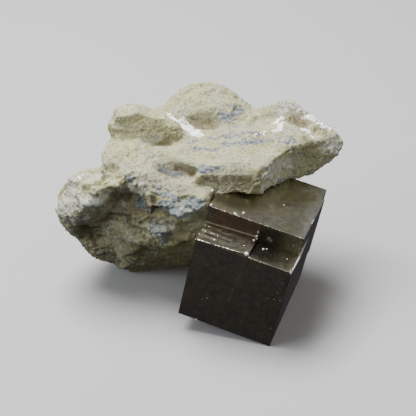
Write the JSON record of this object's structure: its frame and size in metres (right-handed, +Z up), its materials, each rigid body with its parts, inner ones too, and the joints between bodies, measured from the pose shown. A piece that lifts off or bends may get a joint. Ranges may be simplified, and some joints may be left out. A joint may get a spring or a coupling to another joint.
{
  "type": "pyrite cube on matrix",
  "caption": "Stepped pyrite cube grown into a loose piece of pale marl, lying on the crystal's lower edge and the rock's flat foot.",
  "frame": {"origin": "middle of the underside of the piece's box, on the surface that it lies on", "axes": "+X to the right along the rock's length, +Y to the back, away from the crystal's front face, +Z up"},
  "size_m": [0.0548, 0.041, 0.0355],
  "materials": {
    "marl": "matte",
    "pyrite": "polished"
  },
  "bodies": {
    "root": {"marl_matrix": "marl", "pyrite_crystal": "pyrite"}
  },
  "joints": []
}
